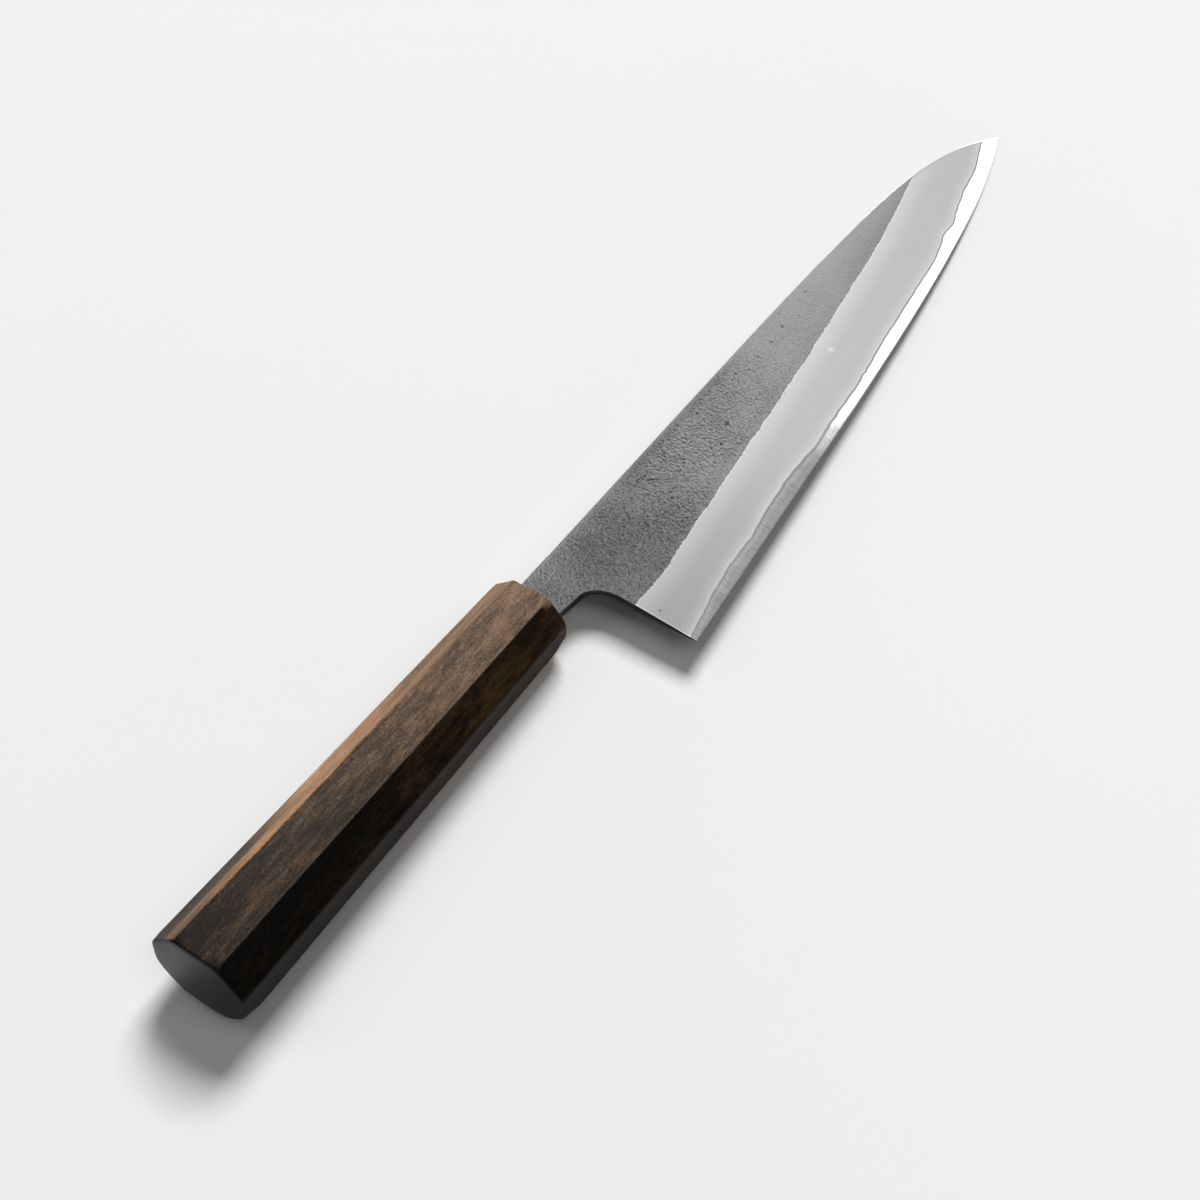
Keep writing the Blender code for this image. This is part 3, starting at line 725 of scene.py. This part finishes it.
def cladding_finish():
    """Dark forge scale above the grind line, satin bevel below it, and a bright rounded spine."""
    s = Shader("cladding")
    relief = s.attribute("relief")
    forging = s.attribute("forging")
    below_grind = s.attribute("below_grind")
    from_spine = s.attribute("from_spine")
    above_weld = s.attribute("above_weld")
    past_heel = s.attribute("past_heel")
    here = s.place()
    dimples = s.noise(here, 1.15, 1.0, 0.5)
    further = s.noise(s.place((1, 1, 1), (0.30, 0.12, 0.0)), 1.15, 1.0, 0.5)
    grain = s.noise(here, 2.3, 2.0, 0.6)
    cloud = s.noise(here, 0.07, 3.0, 0.5)
    nicks = s.noise(here, 1.25, 3.0, 0.7)
    ragged = below_grind + (nicks - 0.5) * 1.5 - nicks.ease(0.36, 0.28) * 1.0
    ground = ragged.ease(-0.10, 0.10)
    polished = (from_spine + (grain - 0.5) * 0.3).ease(0.40, 0.15)

    # forge scale: lightest at mid blade, with a pale upper side near the handle and near the tip
    pits = relief.ease(-0.105, -0.150)
    crests = relief.ease(-0.085, -0.030)
    tone = s.blend(past_heel.ease(2.0, 66.0), 0.064, 0.190) - past_heel.ease(110.0, 190.0) * 0.045
    upper_heel = from_spine.ease(8.0, 0.5) * past_heel.ease(42.0, 2.0)
    upper_middle = from_spine.ease(4.5, 1.0) * past_heel.ease(25.0, 45.0) * past_heel.ease(108.0, 80.0)
    upper_tip = from_spine.ease(9.0, 0.0) * past_heel.ease(105.0, 160.0)
    tone = tone * (1 + upper_heel * 0.8 - upper_middle * 0.35 + upper_tip * 0.35)
    tone = tone * (1 - below_grind.ease(-5.0, -0.5) * 0.15)
    uneven = forging + 0.12

    # painted light and shade of the relief: slopes of the skin that fall towards the tip and the spine, where
    # the window light comes from, are painted paler, the other slopes darker
    painted_relief_light = (dimples - further) * uneven
    mottle_and_painted_light = painted_relief_light * 2.6 + (dimples - 0.5) * uneven * 0.8 + (grain - 0.5) * uneven * 1.3
    tone = tone * (1 + mottle_and_painted_light + (cloud - 0.5) * 0.22)
    # small dark specks: painted shade in small hollows of the skin
    specks = s.noise(s.place((1, 1, 1), (7, 3, 1)), 1.5, 2.0, 0.6).ease(0.38, 0.30) * uneven
    tone = tone * (1 - pits * 0.75) * (0.85 + crests * 0.3) * (1 - specks * 0.35)
    skin_rough = 0.40 + (grain - 0.5) * 0.2 + pits * 0.2

    # ground bevel
    haze = s.noise(s.place((0.35, 1, 1)), 0.09, 2.0)
    lines = s.noise(s.place((3.2, 0.25, 1)), 1.4, 2.0, 0.6)
    halo = above_weld.ease(4.0, 0.5) * 0.034 + above_weld.ease(1.6, 0.6) * 0.026
    halo = halo + below_grind.ease(7.5, 0.3) * 0.050 + below_grind.ease(1.1, 0.1) * 0.034
    seam_width = 0.36 + past_heel.ease(55.0, 95.0) * 0.26 - past_heel.ease(130.0, 200.0) * 0.10
    weld_shade = (above_weld + (grain - 0.5) * 0.3 - seam_width).ease(0.10, -0.10)
    weld_shade = weld_shade * past_heel.ease(-5.0, 85.0)
    satin = s.blend(past_heel.ease(-5.0, 90.0), 0.190, 0.250)
    streaks = (haze - 0.5) * 0.26 + (lines - 0.5) * 0.12 + (grain - 0.5) * 0.08
    bevel_tone = (satin + halo) * (1 + streaks) - weld_shade * 0.145
    bevel_rough = 0.62 + (haze - 0.5) * 0.05 + (lines - 0.5) * 0.05

    # marks: a polished spot, a nick near the heel, a scratch by the handle, a bright arris at the heel
    x, y, _ = s.split(here)
    spot = s.near(x, y, POLISHED_SPOT, 1.7).ease(1.0, 0.0)
    nick = s.near(x, y, NICK, 0.45).ease(1.0, 0.4)
    scratch = (y - x * 0.136 - 0.47 + (grain - 0.5) * 0.4).math("ABSOLUTE").ease(0.17, 0.05)
    scratch = scratch * x.ease(8.0, 9.0) * x.ease(15.5, 14.0)
    heel_arris = past_heel.ease(0.45, 0.15) * past_heel.ease(-0.02, 0.02)
    bevel_tone = bevel_tone * (1 + spot * 0.35 - nick * 0.7 + heel_arris * 0.5)
    tone = tone * (1 + scratch * 1.2)

    under = s.attribute("under")
    bright_spine = polished * (1 - under)
    tone = s.blend(bright_spine, s.blend(ground, tone, bevel_tone), 0.70)
    # faces that turn down, under the neck and choil, are painted dark: painted shade
    tone = s.blend(under, tone, 0.045 + grain * 0.03)
    rough = s.blend(bright_spine, s.blend(ground, skin_rough, bevel_rough), 0.45)
    metal = (ground + bright_spine + under).clamp()
    skin_height = (dimples * 0.50 + grain * 0.10 - specks * 0.08) * uneven * (1 - ground) * (1 - polished)
    s.bump(skin_height + lines * 0.004 * ground, MM)
    return s.surface(Base_Color=s.grey(tone), Roughness=rough, Metallic=metal, Specular_IOR_Level=0.3)


def core_finish():
    """Hard steel: frosted near the heel, brighter to a near mirror at the tip, with painted shade darkening
    the cutting bevel.
    """
    s = Shader("core_steel")
    along = s.attribute("past_heel")
    from_edge = s.attribute("from_edge")
    above_weld = s.attribute("above_weld")
    where = s.place()
    patches = s.noise(where, 0.16, 3.0, 0.6)
    frost = s.noise(s.place((1.0, 0.6, 1)), 2.2, 3.0, 0.65)
    drawn = s.noise(s.place((1.6, 0.22, 1)), 1.0, 2.0, 0.6)
    cloud = s.noise(where, 0.12, 2.0)
    bright = (along + (patches - 0.5) * 16.0).ease(72.0, 118.0)
    tone = s.blend(bright, 0.160, 0.52) * (1 + (cloud - 0.5) * 0.2)
    tone = tone * (1 + (frost - 0.5) * s.blend(bright, 0.9, 0.10) + (drawn - 0.5) * s.blend(bright, 0.6, 0.0))
    rough = s.blend(bright, 0.62, 0.40) + (frost - 0.5) * 0.06
    seam = above_weld.ease(-0.30, -0.06)
    band_end = (above_weld + (frost - 0.5) * 0.8).ease(-1.9, -1.2)
    pale_band = above_weld.ease(-0.30, -0.50) * band_end * (1 - bright)
    # the cutting bevel is painted darker along the edge: painted shade
    cutting = from_edge.ease(0.44, 0.28) * (0.5 + along.ease(75.0, 120.0) * 0.35) * along.ease(212.0, 180.0)
    tone = tone * (1 - cutting) * (1 - seam * 0.40) * (1 + pale_band * 0.16)
    # faces that turn down, under the neck and choil, are painted darker: painted shade
    tone = tone * (1 - s.attribute("under") * 0.8)
    s.bump((frost - 0.5) * (1 - 0.9 * bright), 0.00002)
    return s.surface(Base_Color=s.grey(tone), Roughness=rough, Metallic=1.0)


def handle_wood():
    """Dark stained wood: drawn-out figure, fine flecks along the grain, open pores.

    The chamfer that faces up and towards the spine is a light tan, paler wood with painted light on
    it, brightest at mid length and darker towards the butt; the edge's side is painted nearly black,
    dark stain with painted shade. The butt's rim is black, its face a dark polished grey with a painted
    reflection.
    """
    s = Shader("handle_wood")
    x, y, z = s.split(s.place())
    figure = s.noise(s.place((0.05, 0.12, 0.12)), 1.0, 2.0, 0.5, 0.6)
    streaks = s.noise(s.place((0.17, 0.9, 0.9)), 1.0, 4.0, 0.6, 0.5)
    flecks = s.noise(s.place((1.4, 2.8, 2.8)), 1.0, 3.0, 0.65)
    pores = s.noise(s.place((0.7, 2.8, 2.8)), 1.0, 2.0, 0.5)
    front = x.ease(-125.0, -30.0) * 0.14 + x.ease(-24.0, -4.0) * 0.055
    mixed = figure * 0.26 + streaks * 0.34 + flecks * 0.40 + front - 0.078
    colour = s.ramp(
        mixed,
        (
            (0.36, (0.008, 0.005, 0.003)),
            (0.46, (0.030, 0.018, 0.010)),
            (0.54, (0.084, 0.047, 0.024)),
            (0.68, (0.250, 0.148, 0.082)),
        ),
    )
    widening = x * -CHAMFER_GROWTH + CHAMFER_FRONT

    # the chamfer on the spine's side, from the top facet outwards: a light tan, paler wood with painted light
    # on it
    bands = s.noise(s.place((0.035, 1.1, 1.1)), 1.0, 3.0, 0.6)
    tan_mixed = bands * 0.55 + streaks * 0.25 + flecks * 0.20
    tan = s.ramp(
        tan_mixed,
        (
            (0.36, (0.15, 0.075, 0.034)),
            (0.50, (0.36, 0.185, 0.085)),
            (0.63, (0.62, 0.34, 0.165)),
        ),
    )
    across = (y - z + 4.3) / 13.0
    outer = (across + (bands - 0.5) * 0.25).ease(0.36, 0.56) * x.ease(-72.0, -104.0)
    lit_side = (y + z - widening + (flecks - 0.5) * 0.4).ease(-0.8, -0.4)
    middle = x.ease(-134.0, -84.0) * x.ease(-28.0, -62.0)
    colour = s.colour_mix(lit_side * (0.34 + 0.60 * middle) * (1 - outer * 0.9), colour, tan)

    # the chamfer and facet on the edge's side: painted nearly black, dark stain with painted shade, the
    # chamfer keeping amber streaks of the wood
    worn_corner = x.ease(-5.0, 0.0) * z.ease(8.5, 6.0) * 1.8
    edge_side = (z - y - widening + worn_corner + (flecks - 0.5) * 0.3).ease(-0.7, -0.4)
    amber_mixed = figure * 0.30 + streaks * 0.38 + flecks * 0.32
    amber_mixed = amber_mixed + x.ease(-100.0, -40.0) * 0.07 - x.ease(-60.0, -100.0) * 0.07
    amber = s.ramp(
        amber_mixed,
        (
            (0.44, (0.0020, 0.0015, 0.0010)),
            (0.53, (0.0080, 0.0045, 0.0020)),
            (0.66, (0.0360, 0.0185, 0.0065)),
        ),
    )
    colour = s.colour_mix(edge_side, colour, amber)
    edge_facet = (0.0 - y - z * 0.02 + x * FACET_GROWTH - FACET_FRONT).ease(-0.5, -0.2)
    colour = s.colour_mix(edge_facet * 0.9, colour, (0.009, 0.008, 0.0075))

    # the butt: a black rim, and a dark grey face with a painted reflection, lighter towards the spine's side
    end_face = x.ease(-131.50, -131.62)
    rim = x.ease(-130.9, -131.15)
    colour = s.colour_mix(rim, colour, (0.002, 0.002, 0.002))
    lit_corner = (y + z * 0.3).ease(-9.0, 9.0)
    butt_grey = s.colour_mix(lit_corner, (0.012, 0.011, 0.0105), (0.072, 0.067, 0.070))
    colour = s.colour_mix(end_face, colour, butt_grey)
    pore = pores.ease(0.37, 0.29) * (1 - rim)
    colour = s.colour_mix(pore * 0.5, colour, (0.004, 0.003, 0.002))
    rough = 0.34 + (flecks - 0.5) * 0.20 + pore * 0.15 + edge_facet * 0.25
    s.bump((flecks * 0.6 + streaks * 0.4 - pore * 0.5) * (1 - rim), 0.00008)
    return s.surface(Base_Color=colour, Roughness=rough, Specular_IOR_Level=0.07)


def plain_finish(name, colour, roughness, spread):
    """A small hidden piece: one colour, a little uneven."""
    s = Shader(name)
    where = s.add("ShaderNodeTexCoord", output="Object")
    uneven = s.noise(where, 900.0, 3.0)
    darker = tuple(c * (1 - spread) for c in colour)
    return s.surface(Base_Color=s.colour_mix(uneven, darker, colour), Roughness=roughness)


# ---------------------------------------------------------------- stage, light and camera


def area_light(name, azimuth, elevation, side, power):
    """A soft square panel that faces the middle of the floor."""
    data = bpy.data.lights.new(name, "AREA")
    data.shape = "SQUARE"
    data.size = side
    data.energy = power
    turned, raised = math.radians(azimuth), math.radians(elevation)
    away = Vector(
        (
            math.cos(raised) * math.cos(turned),
            math.cos(raised) * math.sin(turned),
            math.sin(raised),
        )
    )
    light = bpy.data.objects.new(name, data)
    light.location = away * LIGHT_DISTANCE
    light.rotation_euler = away.to_track_quat("Z", "Y").to_euler()
    bpy.context.scene.collection.objects.link(light)


def staged(name, mesh, material):
    mesh.materials.append(material)
    obj = bpy.data.objects.new(name, mesh)
    bpy.context.scene.collection.objects.link(obj)


def floor():
    """A wide pale matte floor."""
    half = FLOOR_HALF
    corners = [(-half, -half, 0), (half, -half, 0), (half, half, 0), (-half, half, 0)]
    mesh = bpy.data.meshes.new("floor")
    mesh.from_pydata(corners, [], [(0, 1, 2, 3)])
    s = Shader("floor")
    where = s.add("ShaderNodeTexCoord", output="Object")
    tint = s.noise(where, 3.0, 3.0)
    colour = s.colour_mix(tint, (0.845, 0.845, 0.845), (0.875, 0.875, 0.875))
    staged("floor", mesh, s.surface(Base_Color=colour, Roughness=1.0, Specular_IOR_Level=0.1))


def camera():
    """A long lens from the butt's side, above the edge, tilted a little."""
    azimuth, elevation = math.radians(CAMERA_AZIMUTH), math.radians(CAMERA_ELEVATION)
    roll = math.radians(CAMERA_ROLL)
    back = Vector(
        (
            math.sin(azimuth) * math.cos(elevation),
            -math.cos(azimuth) * math.cos(elevation),
            math.sin(elevation),
        )
    )
    level = Vector((0, 0, 1)).cross(back).normalized()
    upright = back.cross(level)
    right = level * math.cos(roll) + upright * math.sin(roll)
    up = upright * math.cos(roll) - level * math.sin(roll)
    data = bpy.data.cameras.new("camera")
    data.sensor_width, data.lens = SENSOR_WIDTH, LENS
    obj = bpy.data.objects.new("camera", data)
    turn = Matrix((right, up, back)).transposed().to_4x4()
    obj.matrix_world = Matrix.Translation(Vector(CAMERA_AIM) + back * CAMERA_DISTANCE) @ turn
    bpy.context.scene.collection.objects.link(obj)
    bpy.context.scene.camera = obj


def room_glow():
    """A faint light from all round that brightens towards the horizon, as pale walls would."""
    world = bpy.data.worlds.new("room")
    world.use_nodes = True
    nodes, links = world.node_tree.nodes, world.node_tree.links
    where = nodes.new("ShaderNodeTexCoord")
    parts = nodes.new("ShaderNodeSeparateXYZ")
    height = nodes.new("ShaderNodeMapRange")
    height.interpolation_type = "SMOOTHSTEP"
    height.inputs["From Min"].default_value = GLOW_LOW
    height.inputs["From Max"].default_value = GLOW_HIGH
    height.inputs["To Min"].default_value = GLOW_AT_HORIZON
    height.inputs["To Max"].default_value = GLOW_OVERHEAD
    links.new(where.outputs["Generated"], parts.inputs[0])
    links.new(parts.outputs["Z"], height.inputs["Value"])
    background = nodes["Background"]
    background.inputs["Color"].default_value = (1.0, 1.0, 1.0, 1.0)
    links.new(height.outputs[0], background.inputs["Strength"])
    bpy.context.scene.world = world


def light_the_room():
    room_glow()
    for name, (azimuth, elevation, side, power) in LIGHTS.items():
        area_light(name, azimuth, elevation, side, power)
    bpy.context.scene.view_settings.view_transform = "Standard"


# ---------------------------------------------------------------- assembly


def stand_for(piece, node, material):
    piece.data.materials.append(material)
    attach(piece, "root")
    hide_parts(node)


def main():
    steel = cladding_finish()
    right_face = cladding("cladding_right_face", 1, RIGHT_SEED, *RIGHT_FINENESS, SCRATCHES)
    left_face = cladding("cladding_left_face", -1, LEFT_SEED, *LEFT_FINENESS, ())
    core_faces = core_steel(RIGHT_SEED, LEFT_SEED, CORE_RINGS)
    stand_for(right_face, "cladding_right", steel)
    stand_for(left_face, "cladding_left", steel)
    stand_for(core_faces, "core_steel", core_finish())
    stand_for(handle_body(), "handle_body", handle_wood())
    stand_for(mouth_seal(), "mouth_seal", plain_finish("seal", (0.16, 0.19, 0.22), 0.4, 0.3))
    finishes = {
        "tang_dowel": plain_finish("dowel", (0.10, 0.065, 0.04), 0.6, 0.4),
        "tang_adhesive": plain_finish("adhesive", (0.55, 0.50, 0.36), 0.35, 0.2),
    }
    for node, material in finishes.items():
        for slot in frame["nodes"][node].material_slots:
            slot.material = material
    floor()
    light_the_room()
    camera()


main()
